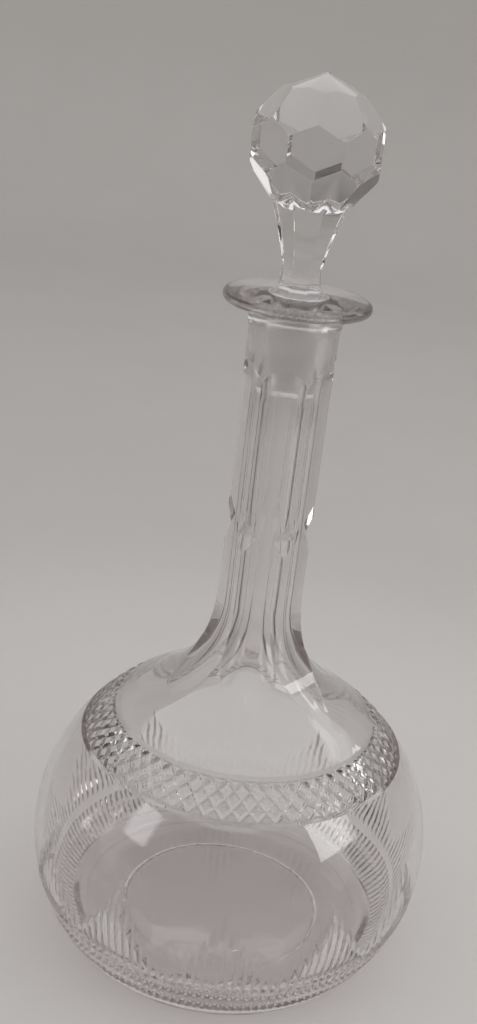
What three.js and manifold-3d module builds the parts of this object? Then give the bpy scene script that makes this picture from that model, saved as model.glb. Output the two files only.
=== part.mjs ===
// A cut glass decanter: a round bottle with a tall fluted neck, and a faceted ball stopper.
// Millimetres, +Z up. The origin is the middle of the base, on the table.
// The front of the decanter faces -Y. Turns about the axis are counted from there, towards +X.

import * as THREE from 'three';
import * as BufferGeometryUtils from 'three/addons/utils/BufferGeometryUtils.js';
import Module from 'manifold-3d';

const wasm = await Module();
wasm.setup();

// Globe of the bottle
const bodyRadius = 75;
const equatorHeight = 42;
const footRadius = 58;
const crownHeight = 68.5;
const bodyWall = 3.8;
const floorThickness = 7.5;
const floorRadius = 44;
const floorBendHeight = 18.5;

// Underside: a standing ring round a shallow ground hollow
const hollowRadius = 39;
const hollowDepth = 1.6;
const hollowSlope = 2.5;
const footRounding = 2.2;

// Shoulder between the globe and the neck
const shoulderRadius = 42;
const neckStartHeight = 148;
const shoulderLead = 26;
const neckLead = 25;
const shoulderWall = 4.4;

// Neck and its bore
const neckRadius = 15.2;
const boreRadius = 8;
const boreEndHeight = 138;
const boreLead = 18;

// Lip and mouth
const mouthHeight = 250.5;
const lipRadius = 24.9;
const lipThickness = 4.2;
const lipFlareHeight = 10;

// Flat flutes round the neck, which run out as petals on the shoulder
const fluteCount = 6;
const fluteTopHeight = 224;
const fluteArchHeight = 7;
const fluteArchFullness = 0.7;
const ridgeEndHeight = 122;
const petalEndHeight = 105;
const ridgeTrim = 0.15;

// V notches across the ridges between the flutes
const notchHeight = 167.5;
const notchLength = 14;
const notchDepth = 2.3;

// Band of diamonds below the shoulder, left standing between crossed V cuts
const diamondCount = 60;
const diamondDepth = 0.8;
const bandTopHeight = 93.95;
const bandBottomHeight = 84.1;
const bandEdgeWidth = 0.95;

// Fringe of upright V cuts above the foot, whose tips rise and fall in pointed tufts
const cutCount = 144;
const cutDepth = 0.75;
const cutFootHeight = 22.3;
const cutFootLength = 3;
const cutTipLength = 8;
const tuftCount = 12;
const tuftTopHeight = 58;
const tuftValleyHeight = 30;
const tuftSweep = 1.45;
const fringeEndHeight = 61;

// Cut lines round the foot
const footLineHeights = [6.6, 13, 19.4];
const footLineWidth = 2.5;
const footLineDepth = 0.75;

// Ground plug of the stopper and its seat in the neck
const plugLength = 33.5;
const plugTopRadius = 9.4;
const plugEndRadius = 7.5;
const plugRounding = 1;
const seatClearance = 0.3;
const seatEndGap = 1.5;

// Eight-sided stem of the stopper
const stemWaistRadius = 7.2;
const stemWaistHeight = 8;
const stemFootLead = 6;
const stemFlareLead = 6;
const stemEndRadius = 13.8;
const stemRoot = 2;

// Ball of the stopper, ground flat in rows of facets
const ballRadius = 22.6;
const ballHeight = 46.8;
const facetsPerRow = 8;
const beltCut = 2.11;
const sideCut = 2.47;
const sideTilt = 53;
const crownCut = 1.82;
const crownTilt = 23;

// Fineness of the round shapes
const roundSides = 60;
const insideSides = 48;
const plugSides = 48;
const cutStepShares = [0.15, 0.45, 0.75];
const fringeEndSteps = 3;
const sideSteps = 4;
const cavitySteps = 10;
const shoulderSteps = 14;
const petalSteps = 5;
const ridgeSteps = 6;
const curveSteps = 6;
const cornerSteps = 4;

// Turns about the axis: the flutes face the front, a tuft of the fringe stands beside it,
// and the stopper sits turned a little in its seat
const fluteTurn = 0;
const fringeTurn = 5.3;
const stopperTurn = 1.5;
const glassTint = 0xe6e2df;

function degrees(angle) {
  return THREE.MathUtils.degToRad(angle);
}

function point(radius, height) {
  return new THREE.Vector2(radius, height);
}

// Radius of the round globe at a height, before any cut
function globeRadius(height, radius, lowerReach, upperReach) {
  const rise = height - equatorHeight;
  const reach = rise < 0 ? lowerReach : upperReach;
  const share = Math.min(1, Math.abs(rise) / reach);
  return radius * Math.sqrt(1 - share * share);
}

// The lower half is an ellipse that passes through the edge of the foot
const lowerReach = equatorHeight / Math.sqrt(1 - (footRadius / bodyRadius) ** 2);

function outerGlobe(height) {
  return globeRadius(height, bodyRadius, lowerReach, crownHeight);
}

function innerGlobe(height) {
  return globeRadius(height, bodyRadius - bodyWall, lowerReach - bodyWall, crownHeight - bodyWall);
}

// Height on the crown where the globe has a given radius
function crownHeightAt(radius, globe, reach) {
  return equatorHeight + reach * Math.sqrt(1 - (radius / globe) ** 2);
}

// Direction in which the crown leaves that height, as radius and height
function crownDirection(radius, globe, reach) {
  const rise = Math.sqrt(1 - (radius / globe) ** 2);
  return point(-globe * rise, reach * radius / globe).normalize();
}

// Points of a V-shaped line cut into the globe, from its lower to its upper edge
function cutLine(height, width, depth) {
  const half = width / 2;
  const below = point(outerGlobe(height - half), height - half);
  const above = point(outerGlobe(height + half), height + half);
  const along = above.clone().sub(below).normalize();
  const middle = below.clone().add(above).multiplyScalar(0.5);
  const bottom = middle.add(point(-along.y, along.x).multiplyScalar(depth));
  return [below, bottom, above];
}

// Points on the globe between two heights, without the two ends
function globeStretch(from, to, steps, radiusAt) {
  const points = [];
  for (let i = 1; i < steps; i += 1) {
    const height = from + (to - from) * i / steps;
    points.push(point(radiusAt(height), height));
  }
  return points;
}

const shoulderStart = point(shoulderRadius, crownHeightAt(shoulderRadius, bodyRadius, crownHeight));

// Shoulder: a smooth hollow curve from the globe up to the neck
function shoulderCurve() {
  const leave = crownDirection(shoulderRadius, bodyRadius, crownHeight);
  return new THREE.CubicBezierCurve(
    shoulderStart,
    shoulderStart.clone().add(leave.multiplyScalar(shoulderLead)),
    point(neckRadius, neckStartHeight - neckLead),
    point(neckRadius, neckStartHeight));
}

const shoulder = shoulderCurve();
const shoulderPoints = shoulder.getPoints(shoulderSteps);

// Radius of the round shoulder and neck at a height, before the flutes are cut
function neckProfile(height) {
  if (height >= neckStartHeight) {
    return neckRadius;
  }
  for (let i = 1; i < shoulderPoints.length; i += 1) {
    const upper = shoulderPoints[i];
    if (height <= upper.y) {
      const lower = shoulderPoints[i - 1];
      const share = (height - lower.y) / (upper.y - lower.y);
      return THREE.MathUtils.lerp(lower.x, upper.x, share);
    }
  }
  return neckRadius;
}

// Underside: the hollow, the standing ring and the rounded edge of the foot
function undersidePoints() {
  return [
    point(0, hollowDepth),
    point(hollowRadius - hollowSlope, hollowDepth),
    point(hollowRadius, 0),
    point(footRadius - footRounding, 0),
    point(outerGlobe(footRounding), footRounding)];
}

// Foot: three cut lines between the standing ring and the fringe
function footPoints() {
  const lines = footLineHeights.map((height) => cutLine(height, footLineWidth, footLineDepth));
  return [...undersidePoints(), ...lines.flat()];
}

// Plain side of the globe, from above the fringe to the edge of the diamond band
function sidePoints() {
  const end = bandBottomHeight - bandEdgeWidth;
  return [
    point(outerGlobe(fringeEndHeight), fringeEndHeight),
    ...globeStretch(fringeEndHeight, end, sideSteps, outerGlobe),
    point(outerGlobe(end), end)];
}

// From the upper edge of the diamond band up the shoulder and the neck to the lip
function upperPoints() {
  const start = bandTopHeight + bandEdgeWidth;
  return [point(outerGlobe(start), start), ...shoulderPoints, ...lipPoints()];
}

// Lip: the neck flares out to a thin disc with a round edge
function lipPoints() {
  const edge = lipThickness / 2;
  const underside = mouthHeight - lipThickness;
  const flare = new THREE.QuadraticBezierCurve(
    point(neckRadius, underside - lipFlareHeight),
    point(neckRadius, underside),
    point(lipRadius - edge, underside));
  const points = flare.getPoints(curveSteps);
  for (let i = 1; i < curveSteps; i += 1) {
    const turn = Math.PI * i / curveSteps;
    const out = edge * Math.sin(turn);
    points.push(point(lipRadius - edge + out, mouthHeight - edge - edge * Math.cos(turn)));
  }
  points.push(point(lipRadius - edge, mouthHeight));
  return points;
}

// Radius of the tapered plug at a depth below the mouth
function plugRadius(depth) {
  return THREE.MathUtils.lerp(plugTopRadius, plugEndRadius, depth / plugLength);
}

// Inside, from the mouth down: the ground seat, the bore, the shoulder and the cavity
function insidePoints() {
  const seatDepth = plugLength + seatEndGap;
  const seatEnd = mouthHeight - seatDepth;
  const seatEndRadius = plugRadius(seatDepth) + seatClearance;
  const innerRadius = bodyRadius - bodyWall;
  const innerReach = crownHeight - bodyWall;
  const innerShoulder = shoulderRadius - shoulderWall;
  const start = point(innerShoulder, crownHeightAt(innerShoulder, innerRadius, innerReach));
  const leave = crownDirection(innerShoulder, innerRadius, innerReach);
  const inside = new THREE.CubicBezierCurve(
    point(boreRadius, boreEndHeight),
    point(boreRadius, boreEndHeight - boreLead),
    start.clone().add(leave.multiplyScalar(boreLead)),
    start);
  const floorCorner = new THREE.QuadraticBezierCurve(
    point(innerGlobe(floorBendHeight), floorBendHeight),
    point(innerGlobe(floorThickness) - bodyWall, floorThickness),
    point(floorRadius, floorThickness));
  return [
    point(plugTopRadius + seatClearance, mouthHeight),
    point(seatEndRadius, seatEnd),
    point(boreRadius, seatEnd - seatEndGap),
    ...inside.getPoints(shoulderSteps),
    ...globeStretch(start.y, floorBendHeight, cavitySteps, innerGlobe),
    ...floorCorner.getPoints(cornerSteps),
    point(0, floorThickness)];
}

// Points evenly round the axis, from a rule that gives the radius and height of each
function ring(count, turn, pointAt) {
  const points = [];
  for (let i = 0; i < count; i += 1) {
    const { x, y } = pointAt(i);
    points.push(new THREE.Cylindrical(x, turn + i * (1 / count) * 2 * Math.PI, y));
  }
  return points;
}

function plainRing(profilePoint, sides) {
  return ring(sides, degrees(fluteTurn), () => profilePoint);
}

// Triangles between two rings, which may differ in number: each joins the two nearest points
function between(lower, upper) {
  const corners = [];
  const turnOf = (points, i) => points[i % points.length].theta
    + 2 * Math.PI * Math.floor(i / points.length);
  let i = 0;
  let j = 0;
  while (i < lower.length || j < upper.length) {
    const ends = [lower[i % lower.length], upper[j % upper.length]];
    const lowerStep = Math.abs(turnOf(lower, i + 1) - turnOf(upper, j));
    const upperStep = Math.abs(turnOf(upper, j + 1) - turnOf(lower, i));
    if (j === upper.length || (i < lower.length && lowerStep <= upperStep)) {
      i += 1;
      corners.push(ends[0], lower[i % lower.length], ends[1]);
    } else {
      j += 1;
      corners.push(ends[0], upper[j % upper.length], ends[1]);
    }
  }
  return corners;
}

// Height of the tip of a cut, which falls away on both sides of the middle of its tuft
function cutTipHeight(cut) {
  const half = cutCount / tuftCount / 2;
  const away = Math.abs(THREE.MathUtils.euclideanModulo(cut + half, 2 * half) - half);
  return THREE.MathUtils.lerp(tuftValleyHeight, tuftTopHeight, (1 - away / half) ** tuftSweep);
}

// A wheel leaves the glass in an arc, so a cut grows shallow towards its tip and its foot
function cutDepthAt(height, tip) {
  const runOut = (distance, length) => 1 - (1 - Math.min(1, distance / length)) ** 2;
  return cutDepth * runOut(tip - height, cutTipLength) * runOut(height - cutFootHeight, cutFootLength);
}

// Fringe: rings of grooves and ridges whose heights follow the tips of the cuts
function fringe() {
  const pitch = 2 * Math.PI / cutCount;
  const seam = THREE.MathUtils.euclideanModulo(degrees(fringeTurn), pitch);
  const firstCut = Math.round((seam - degrees(fringeTurn)) / pitch);
  const onGlobe = (height) => point(outerGlobe(height), height);
  const rings = [ring(cutCount, seam, () => onGlobe(cutFootHeight))];
  for (const share of cutStepShares) {
    rings.push(ring(2 * cutCount, seam, (i) => {
      const tip = cutTipHeight(firstCut + i / 2);
      const height = THREE.MathUtils.lerp(cutFootHeight, tip, share);
      const depth = i % 2 === 0 ? cutDepthAt(height, tip) : 0;
      return point(outerGlobe(height) - depth, height);
    }));
  }
  for (let step = 0; step < fringeEndSteps; step += 1) {
    rings.push(ring(cutCount, seam, (i) => {
      const tip = cutTipHeight(firstCut + i);
      return onGlobe(THREE.MathUtils.lerp(tip, fringeEndHeight, step / fringeEndSteps));
    }));
  }
  return rings;
}

// Point of the globe at a height, sunk square to its surface
function sunkPoint(height, depth) {
  const step = 0.1;
  const below = point(outerGlobe(height - step), height - step);
  const along = point(outerGlobe(height + step), height + step).sub(below).normalize();
  return point(outerGlobe(height) - along.y * depth, height + along.x * depth);
}

// Height in the diamond band, a share of the way along the crown from its lower to its upper edge
function bandHeight(share) {
  const angleOf = (height) => Math.asin((height - equatorHeight) / crownHeight);
  const angle = THREE.MathUtils.lerp(angleOf(bandBottomHeight), angleOf(bandTopHeight), share);
  return equatorHeight + crownHeight * Math.sin(angle);
}

function bandRing(share) {
  return ring(diamondCount, degrees(fluteTurn), () => sunkPoint(bandHeight(share), diamondDepth));
}

// Diamonds: the band is two rows of squares whose corners and middles lie at the bottom of the
// cuts. Each side of a square has a peak at the surface, the top of a diamond that two squares share.
// Along the edges of the band the diamonds are halved, and their peaks stand a little way in.
function diamonds() {
  const corners = [];
  const halfDiamondPeak = 1 / 6;
  const spot = (column, row, depth) => {
    const { x, y } = sunkPoint(bandHeight(row / 2), depth);
    return new THREE.Cylindrical(x, degrees(fluteTurn) + column * (1 / diamondCount) * 2 * Math.PI, y);
  };
  for (let column = 0; column < diamondCount; column += 1) {
    for (const row of [0, 1]) {
      const middle = spot(column + 0.5, row + 0.5, diamondDepth);
      const square = [[0, 0], [1, 0], [1, 1], [0, 1]].map(
        ([right, up]) => spot(column + right, row + up, diamondDepth));
      const lowerPeak = row === 0 ? halfDiamondPeak : 0;
      const upperPeak = row === 1 ? 1 - halfDiamondPeak : 1;
      const peaks = [[0.5, lowerPeak], [1, 0.5], [0.5, upperPeak], [0, 0.5]].map(
        ([right, up]) => spot(column + right, row + up, 0));
      for (let i = 0; i < 4; i += 1) {
        const next = square[(i + 1) % 4];
        corners.push(square[i], peaks[i], middle, peaks[i], next, middle);
        if (i === 2 * row) {
          corners.push(square[i], next, peaks[i]);
        }
      }
    }
  }
  return corners;
}

// The triangles as a geometry that can be merged with a turned one
function surfaceFrom(corners) {
  const places = corners.map((corner) => new THREE.Vector3().setFromCylindrical(corner));
  return new THREE.BufferGeometry().setFromPoints(places);
}

// An open surface turned from a part of the profile
function turnedSurface(profile, sides) {
  const geometry = new THREE.LatheGeometry(profile, sides, degrees(fluteTurn)).toNonIndexed();
  geometry.deleteAttribute('normal');
  geometry.deleteAttribute('uv');
  return geometry;
}

// A closed solid from a profile that starts and ends on the axis
function turned(profile, sides, turn) {
  const geometry = new THREE.LatheGeometry(profile, sides, turn);
  geometry.rotateX(Math.PI / 2);
  return solidFrom(geometry);
}

function solidFrom(geometry) {
  const bare = geometry.clone();
  bare.deleteAttribute('normal');
  bare.deleteAttribute('uv');
  const merged = BufferGeometryUtils.mergeVertices(bare);
  const corners = [];
  const index = merged.index.array;
  for (let i = 0; i < index.length; i += 3) {
    const [a, b, c] = [index[i], index[i + 1], index[i + 2]];
    if (a !== b && b !== c && c !== a) {
      corners.push(a, b, c);
    }
  }
  const places = merged.attributes.position.array;
  if (signedVolume(places, corners) < 0) {
    corners.reverse();
  }
  return new wasm.Manifold(new wasm.Mesh({
    numProp: 3,
    vertProperties: new Float32Array(places),
    triVerts: new Uint32Array(corners)}));
}

function signedVolume(places, corners) {
  const [a, b, c] = [new THREE.Vector3(), new THREE.Vector3(), new THREE.Vector3()];
  let volume = 0;
  for (let i = 0; i < corners.length; i += 3) {
    a.fromArray(places, corners[i] * 3);
    b.fromArray(places, corners[i + 1] * 3);
    c.fromArray(places, corners[i + 2] * 3);
    volume += a.dot(b.cross(c)) / 6;
  }
  return volume;
}

function geometryFrom(solid) {
  const mesh = solid.getMesh();
  const geometry = new THREE.BufferGeometry();
  geometry.setAttribute('position', new THREE.BufferAttribute(mesh.vertProperties, 3));
  geometry.setIndex(new THREE.BufferAttribute(mesh.triVerts, 1));
  geometry.computeVertexNormals();
  return geometry;
}

// The envelope that the flutes leave: six-sided round the neck, wide everywhere else
function fluteEnvelope() {
  const halfTurn = Math.PI / fluteCount;
  const flatShare = Math.cos(halfTurn);
  const clear = 2 * bodyRadius;
  const wideAt = (height) => point(neckProfile(height) / flatShare + ridgeTrim, height);
  const sharpAt = (height) => point(neckProfile(height) - ridgeTrim, height);
  const margin = lipThickness;
  const profile = [point(0, -margin), point(clear, -margin), point(clear, bandTopHeight)];
  profile.push(wideAt(petalEndHeight));
  for (let i = 1; i < petalSteps; i += 1) {
    const share = i / petalSteps;
    const height = THREE.MathUtils.lerp(petalEndHeight, ridgeEndHeight, share);
    const radius = THREE.MathUtils.lerp(wideAt(height).x, sharpAt(height).x, share);
    profile.push(point(radius, height));
  }
  for (let i = 0; i <= ridgeSteps; i += 1) {
    profile.push(sharpAt(THREE.MathUtils.lerp(ridgeEndHeight, neckStartHeight, i / ridgeSteps)));
  }
  profile.push(sharpAt(fluteTopHeight));
  const arch = new THREE.QuadraticBezierCurve(
    sharpAt(fluteTopHeight),
    point(neckRadius, fluteTopHeight + fluteArchHeight * fluteArchFullness),
    wideAt(fluteTopHeight + fluteArchHeight));
  profile.push(...arch.getPoints(cornerSteps).slice(1));
  profile.push(point(clear, fluteTopHeight + fluteArchHeight));
  profile.push(point(clear, mouthHeight + margin));
  profile.push(point(0, mouthHeight + margin));
  return turned(profile, fluteCount, degrees(fluteTurn) + halfTurn);
}

// One V notch: a four-sided bar laid across a ridge
function notchCutter(turn) {
  const bar = new THREE.CylinderGeometry(1, 1, neckRadius * 2, 4);
  bar.rotateZ(Math.PI / 2);
  bar.scale(1, notchDepth + ridgeTrim, notchLength / 2);
  bar.translate(0, -neckRadius, notchHeight);
  bar.rotateZ(turn);
  return solidFrom(bar);
}

// The bottle before its flutes are cut: turned surfaces, with the cut belts between them
function roundBottle() {
  const [foot, side, upper, inside] = [footPoints(), sidePoints(), upperPoints(), insidePoints()];
  const rings = [
    plainRing(foot.at(-1), roundSides),
    ...fringe(),
    plainRing(side[0], roundSides)];
  const belts = rings.slice(1).map((next, i) => between(rings[i], next));
  belts.push(between(plainRing(side.at(-1), roundSides), bandRing(0)));
  belts.push(diamonds());
  belts.push(between(bandRing(1), plainRing(upper[0], roundSides)));
  belts.push(between(plainRing(upper.at(-1), roundSides), plainRing(inside[0], insideSides)));
  const surface = BufferGeometryUtils.mergeGeometries([
    turnedSurface(foot, roundSides),
    turnedSurface(side, roundSides),
    turnedSurface(upper, roundSides),
    turnedSurface(inside, insideSides),
    ...belts.map(surfaceFrom)]);
  surface.rotateX(Math.PI / 2);
  return solidFrom(surface);
}

function bottleGeometry() {
  let bottle = roundBottle().intersect(fluteEnvelope());
  for (let i = 0; i < fluteCount; i += 1) {
    const turn = degrees(fluteTurn) + 2 * Math.PI * (i + 0.5) / fluteCount;
    bottle = bottle.subtract(notchCutter(turn));
  }
  return geometryFrom(bottle);
}

// Plug: a ground cone with a rounded end
function plugSolid() {
  const roundedAt = plugLength - plugRounding;
  return turned([
    point(0, -plugLength),
    point(plugEndRadius - plugRounding, -plugLength),
    point(plugRadius(roundedAt), -roundedAt),
    point(plugTopRadius, 0),
    point(0, 0)], plugSides, degrees(stopperTurn));
}

// A facet is ground where a flat, square to a tilted direction, passes a set distance from the centre
function grindFacet(ball, turn, tilt, distance) {
  const size = 4 * ballRadius;
  const waste = new THREE.BoxGeometry(size, size, size);
  waste.translate(0, 0, distance + size / 2);
  waste.rotateX(tilt);
  waste.rotateZ(turn);
  return ball.subtract(solidFrom(waste));
}

// The rows lean alternately: each row stands half a facet round from the next
function ballSolid() {
  const side = 3 * ballRadius;
  let ball = solidFrom(new THREE.BoxGeometry(side, side, side));
  const step = 2 * Math.PI / facetsPerRow;
  const start = degrees(stopperTurn);
  for (let i = 0; i < facetsPerRow; i += 1) {
    const turn = start + i * step;
    const between = turn + step / 2;
    ball = grindFacet(ball, turn, degrees(90), ballRadius - beltCut);
    ball = grindFacet(ball, between, degrees(sideTilt), ballRadius - sideCut);
    ball = grindFacet(ball, between, degrees(180 - sideTilt), ballRadius - sideCut);
    ball = grindFacet(ball, turn, degrees(crownTilt), ballRadius - crownCut);
    ball = grindFacet(ball, turn, degrees(180 - crownTilt), ballRadius - crownCut);
  }
  return ball;
}

// Where the ridges of the stem run into the lower side facets of the ball
function stemEnd() {
  const reach = ballRadius - sideCut - stemEndRadius * Math.sin(degrees(sideTilt));
  return point(stemEndRadius, ballHeight - reach / Math.cos(degrees(sideTilt)));
}

// Stem: hollow-ground sides, narrow at the waist, wide at the plug and at the ball
function stemSolid() {
  const foot = new THREE.QuadraticBezierCurve(
    point(plugTopRadius, 0),
    point(stemWaistRadius, stemWaistHeight - stemFootLead),
    point(stemWaistRadius, stemWaistHeight));
  const flare = new THREE.QuadraticBezierCurve(
    point(stemWaistRadius, stemWaistHeight),
    point(stemWaistRadius, stemWaistHeight + stemFlareLead),
    stemEnd());
  const profile = [
    point(0, -stemRoot),
    point(plugRadius(stemRoot) - stemRoot / 2, -stemRoot),
    ...foot.getPoints(curveSteps),
    ...flare.getPoints(cavitySteps).slice(1),
    point(0, ballHeight)];
  const halfTurn = Math.PI / facetsPerRow;
  return turned(profile, facetsPerRow, degrees(stopperTurn) + halfTurn);
}

// The whole stopper is one piece of glass, measured from the mouth of the bottle
function stopperGeometry() {
  const ball = ballSolid().translate([0, 0, ballHeight]);
  return geometryFrom(plugSolid().add(stemSolid()).add(ball));
}

function glass(roughness) {
  return new THREE.MeshStandardMaterial({ color: glassTint, roughness, metalness: 0 });
}

const decanter = new THREE.Group();
decanter.name = 'decanter';

const bottle = new THREE.Mesh(bottleGeometry(), glass(0.04));
bottle.name = 'bottle';
decanter.add(bottle);

const stopper = new THREE.Mesh(stopperGeometry(), glass(0.05));
stopper.name = 'stopper';
stopper.position.z = mouthHeight;
decanter.add(stopper);

export default decanter;
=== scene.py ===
# %% [markdown]
# A cut glass decanter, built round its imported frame.
# The real one is two pieces of glass: a round blown bottle with a tall neck, and
# a solid stopper that was ground to fit it. A cutter then worked both on wheels:
# six flat flutes up the neck, a band of diamonds, a fringe of V cuts, rows of
# beads at the foot, and flat facets all over the ball.
# The frame gives both solids at their real size. This script makes the same two
# pieces again with every cut in the mesh, because in clear glass it is the shape
# of each cut, and not a colour, that is seen.

# %% Load the frame
import math

import bmesh
import bpy
from mathutils import Matrix, Vector, noise


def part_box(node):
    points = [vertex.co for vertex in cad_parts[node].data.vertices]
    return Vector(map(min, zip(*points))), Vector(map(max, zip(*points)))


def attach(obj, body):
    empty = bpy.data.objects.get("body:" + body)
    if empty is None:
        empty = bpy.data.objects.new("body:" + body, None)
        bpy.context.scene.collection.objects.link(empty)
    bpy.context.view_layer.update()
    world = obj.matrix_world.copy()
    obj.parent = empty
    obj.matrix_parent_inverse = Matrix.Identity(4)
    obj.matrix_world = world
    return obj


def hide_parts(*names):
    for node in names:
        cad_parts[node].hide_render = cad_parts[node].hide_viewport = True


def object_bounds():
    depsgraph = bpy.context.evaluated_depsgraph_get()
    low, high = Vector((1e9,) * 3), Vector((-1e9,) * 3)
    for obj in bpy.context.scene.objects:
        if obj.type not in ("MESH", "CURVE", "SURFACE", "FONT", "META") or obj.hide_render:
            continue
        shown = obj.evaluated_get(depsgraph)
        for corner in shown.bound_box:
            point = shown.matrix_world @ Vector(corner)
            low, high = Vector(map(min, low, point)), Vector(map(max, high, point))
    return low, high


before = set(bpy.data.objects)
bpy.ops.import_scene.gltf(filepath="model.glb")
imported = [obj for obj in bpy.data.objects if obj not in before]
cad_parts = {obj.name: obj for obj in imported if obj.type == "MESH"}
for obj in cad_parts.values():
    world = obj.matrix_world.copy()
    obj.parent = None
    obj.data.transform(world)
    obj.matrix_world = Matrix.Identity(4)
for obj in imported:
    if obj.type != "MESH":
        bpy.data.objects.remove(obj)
cad_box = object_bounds()
print("frame box", [round(side, 4) for side in cad_box[1] - cad_box[0]])

# %% [markdown]
# The camera stands in front of the decanter and a little to its right, looks
# down on it and leans a little, as a hand-held one does. Its place and turns
# are real sizes and angles. The lens is given by how many pixels a thing as
# wide as it is far away would cover, which sets the same view in any camera.
# The photo isn't centred on the lens, so the camera has a small shift.

# %% Set the camera
MM = 0.001
PHOTO_HEIGHT = 1024
FOCAL_PIXELS = 1300
LENS_OFFSET_X, LENS_OFFSET_Y = 50, 25
CAMERA_DISTANCE = 425.2 * MM
CAMERA_HEIGHT = 338.5 * MM
CAMERA_TURN = math.radians(3)
CAMERA_YAW = math.radians(1)
CAMERA_PITCH = math.radians(22.25)
CAMERA_ROLL = math.radians(7.75)

lens = bpy.data.cameras.new("photo_camera")
lens.lens = lens.sensor_width * FOCAL_PIXELS / PHOTO_HEIGHT
lens.shift_x = -LENS_OFFSET_X / PHOTO_HEIGHT
lens.shift_y = LENS_OFFSET_Y / PHOTO_HEIGHT
camera = bpy.data.objects.new("photo_camera", lens)
bpy.context.scene.collection.objects.link(camera)
bpy.context.scene.camera = camera
look = Matrix.Rotation(CAMERA_TURN - CAMERA_YAW, 4, "Z")
look @= Matrix.Rotation(math.radians(90) - CAMERA_PITCH, 4, "X")
look @= Matrix.Rotation(CAMERA_ROLL, 4, "Z")
standing = Vector((0, -CAMERA_DISTANCE, CAMERA_HEIGHT))
standing.rotate(Matrix.Rotation(CAMERA_TURN, 3, "Z"))
camera.matrix_world = Matrix.Translation(standing) @ look
print("camera at", [round(place, 3) for place in standing], "lens", round(lens.lens, 1))

# %% [markdown]
# Most of this mesh is turned: an outline is drawn in millimetres as radius and
# height, and spun round the axis. A Screw modifier could turn it too, but the
# spin of a bmesh gives its vertices at once, and the cuts are made by moving
# those. Turns are counted from the front, which faces -Y, towards +X.

# %% Helpers to draw and spin an outline
TOUCHING = 0.001


def curve(points, share):
    """A point on the smooth curve from the first point to the last, drawn towards those between."""
    while len(points) > 1:
        points = [a.lerp(b, share) for a, b in zip(points, points[1:])]
    return points[0]


def curve_points(points, steps):
    return [curve(points, step / steps) for step in range(steps + 1)]


def at(radius, height):
    return Vector((radius, height))


def spun(outline, columns, start=0.0):
    """A bmesh of the outline turned round the axis, with its pole and seam closed."""
    mesh = bmesh.new()
    facing = Matrix.Rotation(start, 3, "Z")
    corners = [mesh.verts.new(facing @ Vector((0, -p.x, p.y))) for p in outline]
    lines = [mesh.edges.new(pair) for pair in zip(corners, corners[1:])]
    bmesh.ops.spin(
        mesh, geom=corners + lines, axis=(0, 0, 1), cent=(0, 0, 0),
        angle=math.tau, steps=columns, use_merge=True)
    bmesh.ops.remove_doubles(mesh, verts=mesh.verts, dist=TOUCHING)
    return mesh


# %% [markdown]
# The globe is two half ellipses that meet at the widest height. The lower one
# passes through the edge of the foot. Everything that is cut into the globe is
# measured from this outline, so it has a formula of its own.

# %% Outline of the globe
BODY_RADIUS = cad_box[1].x / MM
EQUATOR_HEIGHT = 42
FOOT_RADIUS = 58
CROWN_HEIGHT = 68.5
LOWER_REACH = EQUATOR_HEIGHT / math.sqrt(1 - (FOOT_RADIUS / BODY_RADIUS) ** 2)


def globe(height, wall=0.0):
    """Radius of the globe at a height, or of the cavity where a wall is given."""
    rise = height - EQUATOR_HEIGHT
    reach = (CROWN_HEIGHT if rise > 0 else LOWER_REACH) - wall
    return (BODY_RADIUS - wall) * math.sqrt(max(0, 1 - (rise / reach) ** 2))


def globe_rows(start, end, spacing):
    """Points of the globe between two heights, both included."""
    steps = max(1, round(abs(end - start) / spacing))
    heights = [start + (end - start) * step / steps for step in range(steps + 1)]
    return [at(globe(height), height) for height in heights]


print("widest", round(globe(EQUATOR_HEIGHT), 2), "at the foot", round(globe(0), 2))

# %% [markdown]
# The underside has a hollow, ground so that the bottle stands on a ring and
# doesn't rock. The edge of the foot is rounded by wear. All of it is round, so
# the hollow and the rounding are drawn in the outline and turned with it.

# %% Underside of the bottle
HOLLOW_RADIUS = 39
HOLLOW_DEPTH = 1.6
HOLLOW_SLOPE = 2.5
HOLLOW_ROWS = (0, 12, 24, 32)
STANDING_RING_ROWS = (44, 50)
FOOT_ROUNDING = 2.2
ROUND_COLUMNS = 144


def level_rows(radii, height):
    """Points of a level stretch of an outline, which keep its faces short."""
    return [at(radius, height) for radius in radii]


def underside():
    edge = FOOT_RADIUS - FOOT_ROUNDING
    rounding = [at(edge, 0), at(FOOT_RADIUS, 0), at(globe(FOOT_ROUNDING), FOOT_ROUNDING)]
    slope = [
        at(HOLLOW_RADIUS - HOLLOW_SLOPE, HOLLOW_DEPTH),
        at(HOLLOW_RADIUS - HOLLOW_SLOPE / 2, HOLLOW_DEPTH),
        at(HOLLOW_RADIUS, 0)]
    hollow = level_rows(HOLLOW_ROWS, HOLLOW_DEPTH) + curve_points(slope, steps=4)
    return hollow + level_rows(STANDING_RING_ROWS, 0) + curve_points(rounding, steps=4)


underside_outline = underside()
bottle = spun(underside_outline, ROUND_COLUMNS)
print("underside", len(bottle.faces), "faces")

# %% [markdown]
# From here up the bottle is made in belts, because each kind of cut needs its
# own number of columns. A belt is spun plain, its vertices are moved, and it is
# added to the bottle. Then bridge_loops closes the narrow gap between the two
# open rings that face each other, also where their numbers of columns differ.

# %% Helpers to shape and join the belts
def place_of(vert):
    """Radius, height and turn from the front of a vertex."""
    x, y, z = vert.co
    return math.hypot(x, y), z, math.atan2(x, -y)


def put(vert, radius, turn):
    vert.co.x = radius * math.sin(turn)
    vert.co.y = -radius * math.cos(turn)


def add_to(whole, belt):
    """Moves the faces of one bmesh into another."""
    carrier = bpy.data.meshes.new("carrier")
    belt.to_mesh(carrier)
    belt.free()
    whole.from_mesh(carrier)
    bpy.data.meshes.remove(carrier)


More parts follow.
